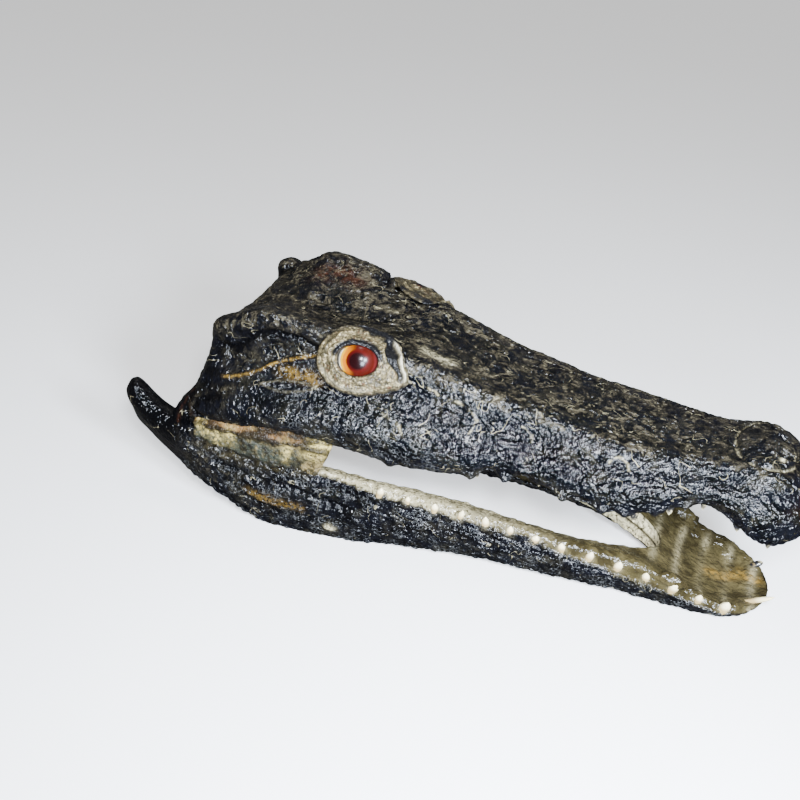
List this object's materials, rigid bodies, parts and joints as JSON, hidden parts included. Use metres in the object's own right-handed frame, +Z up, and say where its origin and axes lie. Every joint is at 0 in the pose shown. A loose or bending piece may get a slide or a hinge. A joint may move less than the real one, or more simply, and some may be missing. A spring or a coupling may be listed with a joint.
{
  "type": "preserved alligator head",
  "caption": "Dried and lacquered alligator head with glass eyes, its mouth held open, lying on its lower jaw",
  "frame": {"origin": "middle of the head's bounding box, at the level of the surface it rests on", "axes": "+X from the back of the head to the tip of the snout, the longest extent; +Y to the animal's left; +Z up"},
  "size_m": [0.4056, 0.1426, 0.1398],
  "materials": {
    "lacquered_hide": "dried scaly hide under a glossy dark lacquer",
    "eyelid_hide": "granular tan-grey dried skin",
    "dry_flesh": "dried tan mouth lining",
    "eye_glass": "polished glass eye, orange iris and dark round pupil",
    "tooth": "ivory-coloured enamel"
  },
  "bodies": {
    "root": {"nose": "lacquered_hide", "snout": "lacquered_hide", "skull_roof": "lacquered_hide", "brow_right": "lacquered_hide", "brow_left": "lacquered_hide", "cheek_right": "lacquered_hide", "cheek_left": "lacquered_hide", "jaw_right": "lacquered_hide", "jaw_left": "lacquered_hide", "chin": "lacquered_hide", "jaw_end_right": "lacquered_hide", "jaw_end_left": "lacquered_hide", "braincase": "dry_flesh", "upper_lid_right": "eyelid_hide", "lower_lid_right": "eyelid_hide", "eye_right": "eye_glass", "mouth_corner_right": "dry_flesh", "upper_lid_left": "eyelid_hide", "lower_lid_left": "eyelid_hide", "eye_left": "eye_glass", "mouth_corner_left": "dry_flesh"}
  },
  "joints": []
}
